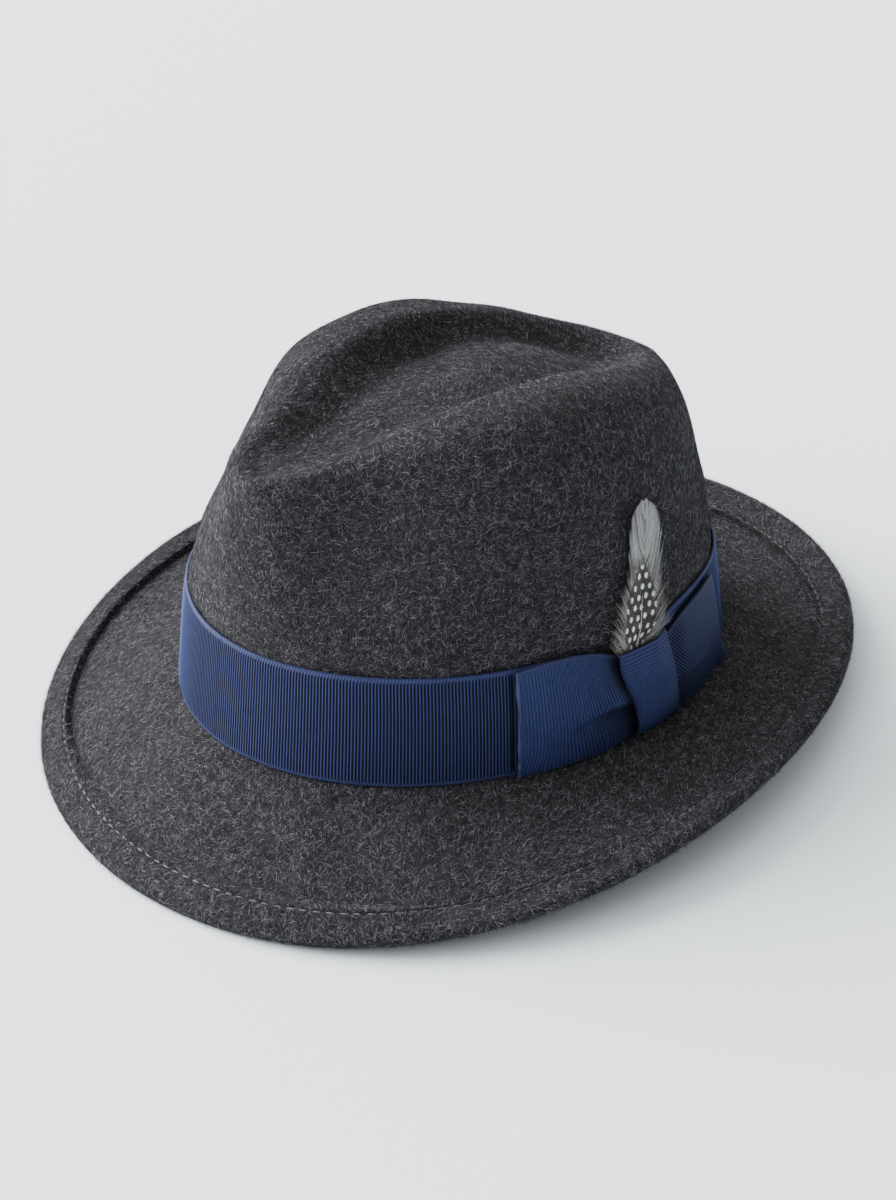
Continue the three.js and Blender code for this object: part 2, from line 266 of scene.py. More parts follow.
def mixColour(tree, factor, a, b):
    node = addNode(tree, "ShaderNodeMix", data_type="RGBA")
    feed(tree, node, 0, factor)
    feed(tree, node, 6, a)
    feed(tree, node, 7, b)
    return node.outputs[2]


def noiseNode(tree, vector, scale, detail=2.0, roughness=0.5, distortion=0.0):
    node = addNode(tree, "ShaderNodeTexNoise")
    feed(tree, node, "Vector", vector)
    sockets = ("Scale", "Detail", "Roughness", "Distortion")
    for socket, given in zip(sockets, (scale, detail, roughness, distortion)):
        feed(tree, node, socket, given)
    return node.outputs["Fac"]


def mapped(tree, vector, turn, scale):
    node = addNode(tree, "ShaderNodeMapping")
    feed(tree, node, "Vector", vector)
    feed(tree, node, "Rotation", turn)
    feed(tree, node, "Scale", scale)
    return node.outputs[0]


def newGroup(name, vectorName, outputs):  # one vector in, several masks out
    group = bpy.data.node_groups.new(name, "ShaderNodeTree")
    group.interface.new_socket(name=vectorName, in_out="INPUT", socket_type="NodeSocketVector")
    for title in outputs:
        group.interface.new_socket(name=title, in_out="OUTPUT", socket_type="NodeSocketFloat")
    given = addNode(group, "NodeGroupInput").outputs[vectorName]
    return group, given, addNode(group, "NodeGroupOutput")


def useGroup(tree, group, **values):
    node = addNode(tree, "ShaderNodeGroup", node_tree=group)
    for socket, value in values.items():
        feed(tree, node, socket, value)
    return node


def newMaterial(name, **sockets):
    material = bpy.data.materials.new(name)
    material.use_nodes = True
    shader = material.node_tree.nodes["Principled BSDF"]
    for socket, value in sockets.items():
        shader.inputs[socket.replace("_", " ")].default_value = value
    return material, material.node_tree, shader


def colourBy(tree, shader, colour):
    tree.links.new(colour, shader.inputs["Base Color"])


def ownValue(tree, name, output="Fac"):  # what a mesh keeps at its vertices
    return addNode(tree, "ShaderNodeAttribute", attribute_name=name).outputs[output]


def ownPlace(tree):
    return addNode(tree, "ShaderNodeTexCoord").outputs["Object"]


def bump(tree, shader, height, distance, strength):
    node = addNode(tree, "ShaderNodeBump")
    feed(tree, node, "Height", height)
    feed(tree, node, "Distance", distance)
    feed(tree, node, "Strength", strength)
    tree.links.new(node.outputs[0], shader.inputs["Normal"])


woolScale = {"fibre": 1900.0, "clump": 420.0, "patch": 160.0, "stretch": (1.0, 1.0, 0.28)}


def woolGroup():  # short fibres that lie every way, in patches of one direction
    group, given, out = newGroup("woolFibres", "Vector", ("Fibre", "Clump"))
    layers = []
    for turn in ((0.5, 0.3, 0.0), (1.9, 0.2, 0.9), (0.3, 1.4, 2.2), (1.2, 2.3, 0.4)):
        streak = mapped(group, given, turn, woolScale["stretch"])
        layers.append(noiseNode(group, streak, woolScale["fibre"], 3.0, 0.62, 0.3))
    patch = noiseNode(group, given, woolScale["patch"], 1.0)
    first = mapRange(group, patch, 0.4, 0.6, smooth=True)
    one = addNode(group, "ShaderNodeMix", data_type="FLOAT")
    two = addNode(group, "ShaderNodeMix", data_type="FLOAT")
    for node, pair in ((one, layers[:2]), (two, layers[2:])):
        feed(group, node, 0, first)
        feed(group, node, 2, pair[0])
        feed(group, node, 3, pair[1])
    both = mathNode(group, "MAXIMUM", one.outputs[0], two.outputs[0])
    group.links.new(mapRange(group, both, 0.45, 0.72), out.inputs["Fibre"])
    clump = noiseNode(group, given, woolScale["clump"], 3.0, 0.6)
    group.links.new(clump, out.inputs["Clump"])
    return group


threadPitch = 0.55  # mm between the threads that cross a rib


def ribGroup():  # ribs across a woven ribbon, from its own cloth attribute
    group, given, out = newGroup("grosgrainRibs", "Cloth", ("Rib", "Thread", "Height"))
    parts = addNode(group, "ShaderNodeSeparateXYZ")
    feed(group, parts, 0, given)
    wave = mathNode(group, "COSINE", times(group, parts.outputs[2], 2 * math.pi))
    rib = mapRange(group, wave, -0.25, 0.95, smooth=True)
    across = times(group, parts.outputs[1], 2 * math.pi / threadPitch)
    half = times(group, parts.outputs[2], math.pi * 3)
    thread = mapRange(group, mathNode(group, "SINE", mathNode(group, "ADD", across, half)), -1.0, 1.0)
    group.links.new(rib, out.inputs["Rib"])
    group.links.new(thread, out.inputs["Thread"])
    height = mathNode(group, "MULTIPLY_ADD", thread, 0.25, rib)
    group.links.new(height, out.inputs["Height"])
    return group


woolFibres = woolGroup()
grosgrainRibs = ribGroup()

feltLook = {
    "dark": (0.0042, 0.004, 0.0048, 1), "middle": (0.0155, 0.015, 0.0172, 1), "pale": (0.112, 0.109, 0.12, 1),
    "light": (0.34, 0.333, 0.358, 1), "sheen": 0.04, "roughness": 0.95, "paleShare": 0.4,
}


def feltMaterial():
    look = feltLook
    material, tree, shader = newMaterial(
        "charcoalFelt", Roughness=look["roughness"], Sheen_Weight=look["sheen"], Sheen_Roughness=0.5,
        Sheen_Tint=(0.8, 0.8, 0.82, 1), Specular_IOR_Level=0.08,
    )
    wool = useGroup(tree, woolFibres, Vector=ownPlace(tree))
    ground = mixColour(tree, mapRange(tree, wool.outputs["Clump"], 0.35, 0.65), look["dark"], look["middle"])
    lightShare = times(tree, wool.outputs["Fibre"], look["paleShare"])
    colourBy(tree, shader, mixColour(tree, lightShare, ground, look["pale"]))
    height = mathNode(tree, "MULTIPLY_ADD", wool.outputs["Fibre"], 0.6, wool.outputs["Clump"])
    bump(tree, shader, height, 0.0003, 0.7)
    return material


def napMaterial():
    look = feltLook
    material, tree, shader = newMaterial(
        "woolNap", Roughness=0.9, Sheen_Weight=0.03, Sheen_Roughness=0.5, Specular_IOR_Level=0.1,
    )
    ramp = addNode(tree, "ShaderNodeValToRGB")
    stops = ramp.color_ramp.elements
    stops[0].position, stops[0].color = 0.0, look["dark"]
    stops[1].position, stops[1].color = 1.0, look["light"]
    for position, colour in ((0.5, look["middle"]), (0.75, look["pale"])):
        stops.new(position).color = colour
    feed(tree, ramp, 0, ownValue(tree, "tint"))
    colourBy(tree, shader, ramp.outputs[0])
    return material


ribbonLook = {
    "groove": (0.0004, 0.0006, 0.003, 1), "rib": (0.033, 0.05, 0.175, 1), "edge": (0.07, 0.085, 0.18, 1),
    "roughness": 0.55, "sheen": 0.025, "paintedShade": 0.88, "satin": 0.45, "depth": 0.00022,
}


def ribbonMaterial():
    look = ribbonLook
    material, tree, shader = newMaterial(
        "navyGrosgrain", Sheen_Weight=look["sheen"], Sheen_Roughness=0.35, Sheen_Tint=(0.3, 0.45, 0.9, 1),
        Specular_IOR_Level=0.2,
    )
    ribs = useGroup(tree, grosgrainRibs, Cloth=ownValue(tree, "cloth", "Vector"))
    relief = ownValue(tree, "relief")
    crest = times(tree, ribs.outputs["Rib"], mapRange(tree, ribs.outputs["Thread"], 0, 1, 0.72, 1))
    satin = times(tree, mathNode(tree, "SUBTRACT", 1.0, relief), look["satin"])
    shade = mathNode(tree, "MULTIPLY_ADD", crest, relief, satin)
    worn = noiseNode(tree, ownPlace(tree), 260.0, 3.0, 0.6)
    shade = times(tree, shade, mapRange(tree, worn, 0.2, 0.8, 0.85, 1.1))
    # the fold attribute darkens the colour with painted shade and painted shadow
    paintedShade = mapRange(tree, ownValue(tree, "fold"), 0.0, 1.0, 1.0, 1.0 - look["paintedShade"])
    body = mixColour(tree, times(tree, shade, paintedShade), look["groove"], look["rib"])
    edge = times(tree, ownValue(tree, "hem"), ribs.outputs["Thread"])
    colourBy(tree, shader, mixColour(tree, edge, body, look["edge"]))
    tree.links.new(mapRange(tree, crest, 0, 1, 0.8, look["roughness"]), shader.inputs["Roughness"])
    bump(tree, shader, times(tree, ribs.outputs["Height"], relief), look["depth"], 0.9)
    return material


felt = feltMaterial()
nap = napMaterial()
ribbon = ribbonMaterial()
print("materials ready")


# The felt: a profile of rows spun round the hat, each row then set to its place on the sheet

def feltProfile():
    s = feltShape
    t = s["thickness"]
    # a row is its run or None, its offset from the sheet, its inset from the edge, how far it has turned
    # round the edge, and how far it can be pressed flat
    rows = []
    top = np.linspace(0, 1, s["topRows"]) ** 0.85
    rows += [(run, 0.0, None, None, 0) for run in top[:-1]]
    rows += [(2 - turn / 90, 0.0, None, None, 0) for turn in np.linspace(90, 0, s["wallRows"])]
    rows += [(2 + share, 0.0, None, None, 0) for share in np.linspace(0, 0.66, s["brimRows"])[1:]]
    fold = s["foldWidth"]  # its cut edge stands just inside the stitches
    lip = [
        (1.0, 0.0, 3.4), (0.35, -0.15, 3.1), (0.1, -0.5, 2.9), (-0.03, 0.2 * t, 2.2), (-0.06, 0.75 * t, 1.2),
        (-0.16, 0.97 * t, 0.3), (-0.32, 1.0 * t, 0),
    ]
    rows += [(None, offset, fold + inset, None, ramp) for inset, offset, ramp in lip]
    dip = [(0.5, 0.96 * t), (0.25, t - 0.6 * s["stitchDip"]), (0.0, t - s["stitchDip"]),
           (-0.25, t - 0.6 * s["stitchDip"]), (-0.6, 0.98 * t), (-1.4, 1.03 * t)]
    rows += [(None, offset, s["stitchInset"] + inset, None, 0) for inset, offset in dip]
    rows += [(None, 1.02 * t, inset, None, 0) for inset in (5.0, 3.4, 1.8, 0.8)]
    rows += [(None, t, 0.0, bend, 0) for bend in np.linspace(0, math.pi, s["bendRows"])]
    rows += [(None, -1.02 * t, inset, None, 0) for inset in (0.8, 1.8, 3.4, 5.0)]
    rows += [(None, -offset, s["stitchInset"] + inset, None, 0) for inset, offset in dip[::-1]]
    rows += [(None, -t, fold + inset, None, 0) for inset in (0.0, 1.5)]
    rows += [(2 + share, -t, None, None, 0) for share in np.linspace(0.7, 0, s["underRows"])]
    rows += [(2 - turn / 90, -t, None, None, 0) for turn in np.linspace(0, 90, s["innerRows"])[1:]]
    rows += [(run, -t, None, None, 0) for run in top[::-2]]
    if rows[-1][0] > 0:
        rows.append((0.0, -t, None, None, 0))
    return rows


def pressedShare(angle):  # where the fold's cut edge is brushed flat: round the front
    s = feltShape
    away = (np.degrees(angle) - s["pressedTurn"] + 180) % 360 - 180
    return fading(np.abs(away), s["pressedFull"], s["pressedNone"])


def placeRow(row, angle):  # where a row lies, and the way out of the sheet there
    run, offset, inset, bend, ramp = row
    offset = np.full_like(angle, offset)
    if run is None:
        pressed = pressedShare(angle) * (ramp > 0)
        offset = np.where(offset < 0.3, offset * (1 - pressed), offset) if ramp else offset
        run = 3 - (inset + ramp * pressed) / brimWidth(angle)
    run = np.full_like(angle, run) if np.ndim(run) == 0 else run
    if bend is None:
        normal = sheetNormal(angle, run)
        return sheetPoint(angle, run) + normal * offset[:, None], normal
    normal = sheetNormal(angle, np.full_like(angle, 2.99))
    along = normalized(np.cross(np.cross(normal, outward(angle)), normal))
    rim = sheetPoint(angle, np.full_like(angle, 3.0))
    turned = normal * math.cos(bend) + along * math.sin(bend)
    return rim + turned * offset[:, None], normal


handling = table("length height way", [  # slow waves left by blocking and brushing, in mm
    (46, 0.28, (0.9, 0.2, 0.5)),
    (31, 0.2, (-0.3, 0.9, 0.4)),
    (19, 0.11, (0.5, -0.6, 0.8)),
])


def unevenness(points):
    total = 0
    for wave in handling:
        way = np.array(wave["way"]) / np.linalg.norm(wave["way"])
        side = np.cross(way, (0.3, 0.5, 0.8))
        phase = points @ way * 2 * math.pi / wave["length"] + 1.7 * np.sin(points @ side / wave["length"] * 4)
        total = total + wave["height"] * np.sin(phase)
    return total


profile = feltProfile()


def spinRows(count, columns, closed):  # a strip of rows, spun into a sleeve of quads
    bm = bmesh.new()
    verts = [bm.verts.new((1.0 + i, 0, 0)) for i in range(count)]
    edges = [bm.edges.new((verts[i], verts[i + 1])) for i in range(count - 1)]
    if closed:
        edges.append(bm.edges.new((verts[-1], verts[0])))
    bmesh.ops.spin(
        bm, geom=verts + edges, cent=(0, 0, 0), axis=(0, 0, 1), dvec=(0, 0, 0),
        angle=2 * math.pi, steps=columns, use_merge=True,
    )
    places = np.array([v.co for v in bm.verts])
    row = np.rint(np.hypot(places[:, 0], places[:, 1])).astype(int) - 1
    angle = np.arctan2(places[:, 1], places[:, 0]) % (2 * math.pi)
    return bm, row, angle


def makeFelt():
    global layShift
    bm, row, angle = spinRows(len(profile), feltShape["columns"], False)
    points = np.zeros((len(row), 3))
    ways = np.zeros((len(row), 3))
    still = np.zeros(len(row))
    for index, entry in enumerate(profile):
        here = row == index
        points[here], ways[here] = placeRow(entry, angle[here])
        toRim = entry[2] if entry[2] is not None else (3 - entry[0]) * 48
        still[here] = smoothstep(np.array(toRim), 0, 30)
    low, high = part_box("felt_body")
    turned = points @ layTurn.T
    centre = (turned[:, 1].min() + turned[:, 1].max()) / 2
    layShift = np.array([0, (low.y + high.y) / 2 / mm - centre, high.z / mm - turned[:, 2].max()])
    points += ways * (unevenness(points) * (0.25 + 0.75 * still))[:, None]
    placed = laid(points)
    placed[:, 2] = np.maximum(placed[:, 2], 0)
    level = bm.verts.layers.float.new("row")
    for vertex, place, index in zip(bm.verts, placed, row):
        vertex.co = place
        vertex[level] = index
    return finishMesh(bm, "felt_hat")


feltMesh = makeFelt()
feltHat = newObject("felt_hat", feltMesh, felt)
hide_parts("felt_body")
print("felt", len(feltMesh.polygons), "faces")


# The ribbons. Each is a grid that is set to its place, with a cloth attribute:
# millimetres along it, millimetres up it, and how many ribs have gone by.
ribbonShape = {
    "thickness": 0.9, "gap": 0.35, "bandFoot": 0.4, "bandHeight": 38.7,
    "ribPitch": 1.12, "ribRelief": 0.14, "bandColumnsPerRib": 4, "bandRows": 14,
    "pressAhead": 0.8, "pressSpread": 0.75, "pressDepth": 0.45,
}
bandDips = table("turn depth spread", [(94, 7.5, 9), (150, 4, 20)])  # where its upper edge is drawn down
aroundAngles = np.linspace(0, 2 * math.pi, 1441)
aroundLine = onCrown(np.degrees(aroundAngles), 19.0, np.full_like(aroundAngles, 1.25))
aroundLength = np.concatenate([[0], np.cumsum(np.linalg.norm(np.diff(aroundLine, axis=0), axis=1))])
bandLength = aroundLength[-1]


def turnAt(length):
    return np.degrees(np.interp(length, aroundLength, aroundAngles))


def lengthAt(turn):
    return np.interp(np.radians(turn), aroundAngles, aroundLength)


def ribLift(phase, relief):
    return ribbonShape["ribRelief"] * relief * np.cos(2 * math.pi * phase)


# fold is how far the ribbon's colour is darkened by painted shade
def setCloth(bm, places, cloth, relief, hem, fold):
    clothLayer = bm.verts.layers.float_vector.new("cloth")
    layers = [bm.verts.layers.float.new(name) for name in ("relief", "hem", "fold")]
    for vertex, place, mark, *values in zip(bm.verts, places, cloth, relief, hem, fold):
        vertex.co = place
        vertex[clothLayer] = mark
        for layer, value in zip(layers, values):
            vertex[layer] = value


def makeBand():
    s = ribbonShape
    ribs = round(bandLength / s["ribPitch"])
    top = s["bandHeight"] - s["bandFoot"]
    face = [0.0, 0.5, 1.0, 1.6] + list(np.linspace(3, top - 2.6, s["bandRows"] - 8))
    face += [top - 1.5, top - 0.9, top - 0.4, top]
    rows = [(height, 1.0) for height in face] + [(top, 0.0), (top / 2, 0.0), (0.0, 0.0)]
    bm, row, angle = spinRows(len(rows), ribs * s["bandColumnsPerRib"], True)
    length = angle / (2 * math.pi) * bandLength
    height = np.array([r[0] for r in rows])[row]
    front = np.array([r[1] for r in rows])[row]
    phase = length / bandLength * ribs
    edge = np.minimum(height, top - height)
    fade = smoothstep(edge, 0.6, 1.7)
    relief = np.clip(fade, 0.3, 1)
    roll = 0.3 * fading(edge, 0, 0.8)
    offset = s["gap"] + front * (s["thickness"] + ribLift(phase, relief) - roll)
    slant = (1 - fade) * front * 0.6  # the ribs bend where the ribbon turns over at its edges
    turn = turnAt((length + slant) % bandLength)
    dip = sum(d["depth"] * bell(turn, d["turn"], d["spread"]) for d in bandDips)
    points = onCrown(turn, s["bandFoot"] + height * (1 - dip / top), offset)
    hem = front * bell(edge, 0.7, 0.45) * 0.5
    # the bow's front end presses into the band just ahead of it, and painted shadow darkens the pressed strip
    pressed = lengthAt(wingSections[0]["turn"]) - s["pressAhead"]
    fold = bell(length, pressed, s["pressSpread"]) * smoothstep(height, 0.5, 2.5)
    fold *= smoothstep(top - height, 0.5, 2.5)
    points -= outward(np.radians(turn)) * (s["pressDepth"] * fold * front)[:, None]
    cloth = np.stack([length, height, phase], -1)
    setCloth(bm, laid(points), cloth, relief * front, hem, fold)
    return finishMesh(bm, "ribbon_round_crown")


wingSections = table("turn low high puff pleat", [
    (67.9, 0.6, 38.3, 0.3, 0.0),
    (71.0, 0.6, 38.9, 1.0, 0.0),
    (75.0, 0.6, 39.4, 1.6, 0.1),
    (80.0, 0.6, 38.9, 2.0, 0.5),
    (85.0, 0.6, 37.0, 2.1, 1.2),
    (89.0, 0.8, 34.0, 1.8, 1.8),
    (93.0, 1.6, 31.0, 0.9, 1.2),
    (98.5, 2.2, 30.4, 0.3, 0.0),
    (104.0, 1.2, 32.0, 0.8, 0.8),
    (108.0, 0.8, 34.3, 1.5, 1.2),
    (113.0, 0.6, 35.7, 1.9, 1.0),
    (119.0, 0.6, 36.2, 1.5, 0.3),
    (124.0, 0.6, 36.4, 1.0, 0.0),
    (128.0, 0.6, 36.4, 0.4, 0.0),
])
wingShape = {
    "alongSteps": 470, "upSteps": 62, "ribPitch": 1.12, "knotTurn": 96.5, "slant": 3.5, "slantFrom": 113,
    "frontCrease": 0.5, "rearCrease": 0.38, "creaseDepth": 2.1, "creaseLip": 0.95, "cornerLift": 1.8,
    "frontLean": 0.05, "knotLean": 0.28, "rearLean": 0.71, "footLean": 0.14, "rearRibs": 0.83, "shade": 0.36,
    "creaseFrom": 88, "rearCreaseFrom": 104, "creaseReach": 14,  # degrees
}


bandMesh = makeBand()
band = newObject("ribbon_round_crown", bandMesh, ribbon)
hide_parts("ribbon_band")
print("band", len(bandMesh.polygons), "faces")


def softTable(x, rows, key, column):  # a smooth curve through one column of a table
    xs = np.array([row[key] for row in rows])
    ys = np.array([row[column] for row in rows])
    slopes = np.gradient(ys, xs)
    i = np.clip(np.searchsorted(xs, x) - 1, 0, len(xs) - 2)
    span = xs[i + 1] - xs[i]
    t = np.clip((x - xs[i]) / span, 0, 1)
    a = (1 + 2 * t) * (1 - t) ** 2 * ys[i] + t * (1 - t) ** 2 * span * slopes[i]
    return a + t * t * (3 - 2 * t) * ys[i + 1] + t * t * (t - 1) * span * slopes[i + 1]


def columnsAt(x, rows, key, columns):
    return [softTable(x, rows, key, column) for column in columns.split()]


def clothGrid(alongSteps, upSteps):
    bm = bmesh.new()
    bmesh.ops.create_grid(bm, x_segments=alongSteps, y_segments=upSteps, size=0.5)
    places = np.array([v.co for v in bm.verts])
    return bm, places[:, 0] + 0.5, places[:, 1] + 0.5


def wallBehind(bm, thickness):  # gives a sheet its wall, behind the face that shows
    centre = Vector(laid(np.array([0.0, 0.0, 30.0])))
    faces = list(bm.faces)
    middle = faces[len(faces) // 2]
    if middle.normal.dot(middle.calc_center_median() - centre) < 0:
        bmesh.ops.reverse_faces(bm, faces=faces)
    bm.normal_update()
    bmesh.ops.solidify(bm, geom=faces, thickness=thickness * mm)


knotSections = table("height start end lift tuck", [
    (2.1, 93.6, 104.7, 0.0, 2.3),
    (4.5, 93.5, 104.7, 0.4, 1.0),
    (10.0, 93.0, 104.6, 0.8, 0.0),
    (17.0, 92.0, 104.3, 0.8, 0.0),
    (24.0, 90.4, 103.4, 0.8, 0.0),
    (32.0, 89.2, 102.2, 0.5, 0.1),
    (35.6, 89.2, 101.8, 0.0, 0.3),
])


def makeWings():
    s = wingShape
    bm, along, up = clothGrid(s["alongSteps"], s["upSteps"])
    first, last = lengthAt(wingSections[0]["turn"]), lengthAt(wingSections[-1]["turn"])
    length = first + (last - first) * along
    turn = turnAt(length)
    low, high, puff, pleat = columnsAt(turn, wingSections, "turn", "low high puff pleat")
    height = low + (high - low) * up
    toFront = turn < s["knotTurn"]
    ahead = np.clip(s["creaseFrom"] - turn, 0, s["creaseReach"])
    behind = np.clip(turn - s["rearCreaseFrom"], 0, s["creaseReach"])
    edge = np.minimum(height - low, high - height)
    side = np.minimum(length - first, last - length)

    # out of the knot runs a crease: full above it, tucked in below it
    frontCrease = s["frontCrease"] - 0.0165 * ahead
    rearCrease = s["rearCrease"] - 0.005 * behind
    crease = np.where(toFront, frontCrease, rearCrease)
    softness = np.where(toFront, 0.02 + 0.004 * ahead, 0.03 + 0.004 * np.clip(turn - 108, 0, 12))
    over = smoothstep(up, crease - softness, crease + softness)
    swell = puff * np.sin(math.pi * np.clip(up, 0, 1)) ** 0.8
    lip = s["creaseLip"] * pleat * over * bell(up, crease, 0.17)
    tuck = pleat * s["creaseDepth"] * (1 - over) * np.clip(up / crease, 0, 1) ** 2.5

    # the ribs: upright at the front end, leaning back into the knot, more so behind it
    lean = s["frontLean"] + (s["knotLean"] - s["frontLean"]) * smoothstep(turn, 74, 90)
    lean = lean - s["footLean"] * fading(up, 0, 0.35) * fading(turn, 70, 80)
    lean = np.where(toFront, lean, s["rearLean"])
    phase = (length * np.where(toFront, 1.0, s["rearRibs"]) + lean * (height - 18)) / s["ribPitch"]
    satin = smoothstep(turn, 106, 111) + smoothstep(turn, 84, 90) * toFront * smoothstep(up, 0.55, 0.7)
    relief = np.clip(smoothstep(edge, 0.5, 1.5), 0.25, 1) * (1 - 0.93 * np.clip(satin, 0, 1))

    offset = ribbonShape["gap"] * 2 + ribbonShape["thickness"] * 2
    offset = offset + np.maximum(swell - tuck + lip, 0) + ribLift(phase, relief)
    offset -= 0.3 * fading(edge, 0, 0.9)
    offset += 0.5 * fading(length - first, 0, 2.5)
    offset += s["cornerLift"] * smoothstep(turn, 122, 128) * fading(up, 0.02, 0.25)
    rear = smoothstep(turn, s["slantFrom"], wingSections[-1]["turn"])
    points = onCrown(turn - s["slant"] * rear * up, height, offset)

    # painted shade under the crease, painted shadow beside the knot and along the rear wing's upper edge, and
    # an even painted shade over the rest of the bow ribbon
    hem = bell(edge, 0.6, 0.4) * 0.55 + bell(side, 0.3, 0.3) * 1.6
    near = smoothstep(turn, 79, 89) * toFront * fading(turn, 93.5, 95)
    depth = np.where(toFront, near, 0.8 * bell(turn, 108, 6.5))
    reach = np.where(toFront, 0.28 + 0.25 * smoothstep(turn, 86, 92), 0.3)
    knotHeight = np.clip(height, knotSections[0]["height"], knotSections[-1]["height"])
    knotEdge = softTable(knotHeight, knotSections, "height", "start")
    shadowBesideKnot = smoothstep(turn - knotEdge, -2.6, -0.9) * fading(turn, 96, 98)
    fold = np.clip(0.75 * depth * (1 - over) * bell(crease - up, 0, reach) + 1.15 * shadowBesideKnot, 0, 1.15)
    fold += bell(high - height, 0.2, 0.35) * (turn > 100) + s["shade"] * (1 - fold)
    cloth = np.stack([length, height, phase], -1)
    setCloth(bm, laid(points), cloth, relief, np.clip(hem, 0, 1), np.clip(fold, 0, 1.15))
    wallBehind(bm, ribbonShape["thickness"])
    return finishMesh(bm, "bow_ribbon"), last - first


wingsMesh, wingsLength = makeWings()
wings = newObject("bow_ribbon", wingsMesh, ribbon)
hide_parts("bow_wings")
print("wings", len(wingsMesh.polygons), "faces")

knotShape = {
    "alongSteps": 44, "upSteps": 220, "offset": 6.1, "ribPitch": 1.25, "flatness": 0.35, "rearDrop": 1.5,
    "flatWidth": 22, "flatLength": 38, "shade": 0.42, "footPaintedShade": 0.45,
}


def makeKnot():
    s = knotShape
    bm, along, up = clothGrid(s["alongSteps"], s["upSteps"])
    low, high = knotSections[0]["height"], knotSections[-1]["height"]
    height = low + (high - low) * up
    start, end, lift, tuck = columnsAt(height, knotSections, "height", "start end lift tuck")
    turn = start + (end - start) * along
    phase = (height + 0.9 * along ** 2) / s["ribPitch"]
    width = lengthAt(end) - lengthAt(start)
    side = np.minimum(along, 1 - along) * width
    relief = np.clip(smoothstep(side, 0.2, 1.0), 0.3, 1)
    dip = 0.3 * bell(along, 0.45, 0.16) * np.sin(math.pi * np.clip(up, 0, 1))
    offset = s["offset"] + lift * np.sin(math.pi * np.clip(along, 0, 1)) ** s["flatness"] - dip
    offset += ribLift(phase, relief) - np.maximum(tuck, s["rearDrop"] * smoothstep(along, 0.6, 1.0))
    offset -= 0.4 * fading(side, 0, 0.6)
    points = onCrown(turn, height, offset)
    hem = bell(side, 0.3, 0.25) * 0.5
    # painted shade over the whole knot, deeper at its foot towards its rear end
    fold = s["shade"] + s["footPaintedShade"] * fading(up, 0.0, 0.4) * smoothstep(along, 0.25, 0.9)
    setCloth(bm, laid(points), np.stack([along * width, side, phase], -1), relief, hem, fold)
    wallBehind(bm, ribbonShape["thickness"])
    return finishMesh(bm, "knot_wrap")


knotMesh = makeKnot()
knot = newObject("knot_wrap", knotMesh, ribbon)
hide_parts("bow_knot")
print("knot", len(knotMesh.polygons), "faces")


# The feathers: many narrow barbs that leave a shaft, each one a tapering strip
rng = np.random.default_rng(seed)
vaneHold = {"tilt": 15, "from": 0.2, "to": 0.42}  # its rear side stands off the crown above the bow
greyShape = {
    "baseTurn": 93.5, "baseHeight": 29.5, "tipTurn": 102.0, "tipHeight": 80.5, "offset": 3.3, "standOff": 0,
    "barbs": 340, "segments": 8, "width": 0.25, "bend": 1.35, "clump": 9, "spread": 0.3, "gap": (0.6, 0.62),
    "looseBelow": 0.5,
}
greyOutline = table("along halfWidth climb", [  # climb: how far up a barb runs from its root
    (0.0, 1.0, 12.0),
    (0.15, 3.0, 17.0),
    (0.3, 5.6, 21.0),
    (0.5, 6.6, 20.0),
    (0.7, 6.5, 14.0),
    (0.86, 5.7, 7.0),
    (0.95, 3.9, 2.6),
    (1.0, 0.8, 0.8),
])
spottedShape = {
    "baseTurn": 93.3, "baseHeight": 28.8, "tipTurn": 96.9, "tipHeight": 62.6, "offset": 4.2, "standOff": 1,
    "barbs": 320, "segments": 8, "width": 0.26, "bend": 1.3, "clump": 4, "spread": 1.2, "gap": (2, 2),
    "looseBelow": 0.95,
}
spottedOutline = table("along halfWidth climb", [
    (0.0, 3.0, 9.0),
    (0.2, 9.6, 9.5),
    (0.32, 12.2, 10.5),
    (0.45, 11.4, 11.0),
    (0.6, 9.8, 11.0),
    (0.75, 8.0, 9.5),
    (0.9, 5.6, 6.5),
    (1.0, 2.2, 2.5),
])


def vanePlace(shape, x, y, lift):  # x across the shaft and y along it, in millimetres
    t = np.clip(y / vaneLength(shape), 0, 1)
    turn = shape["baseTurn"] + (shape["tipTurn"] - shape["baseTurn"]) * t
    height = shape["baseHeight"] + (shape["tipHeight"] - shape["baseHeight"]) * y / vaneLength(shape)
    free = smoothstep(t, vaneHold["from"], vaneHold["to"])
    tilt = np.radians(vaneHold["tilt"]) * free
    way = outward(np.radians(turn))
    rearward = np.stack([-way[..., 1], way[..., 0], np.zeros_like(turn)], -1)
    offset = shape["offset"] + shape["standOff"] * free + lift + x * np.sin(tilt)
    return onCrown(turn, height, offset) + rearward * (x * np.cos(tilt))[..., None]


def vaneLength(shape):
    across = lengthAt(shape["tipTurn"]) - lengthAt(shape["baseTurn"])
    return math.hypot(shape["tipHeight"] - shape["baseHeight"], across)


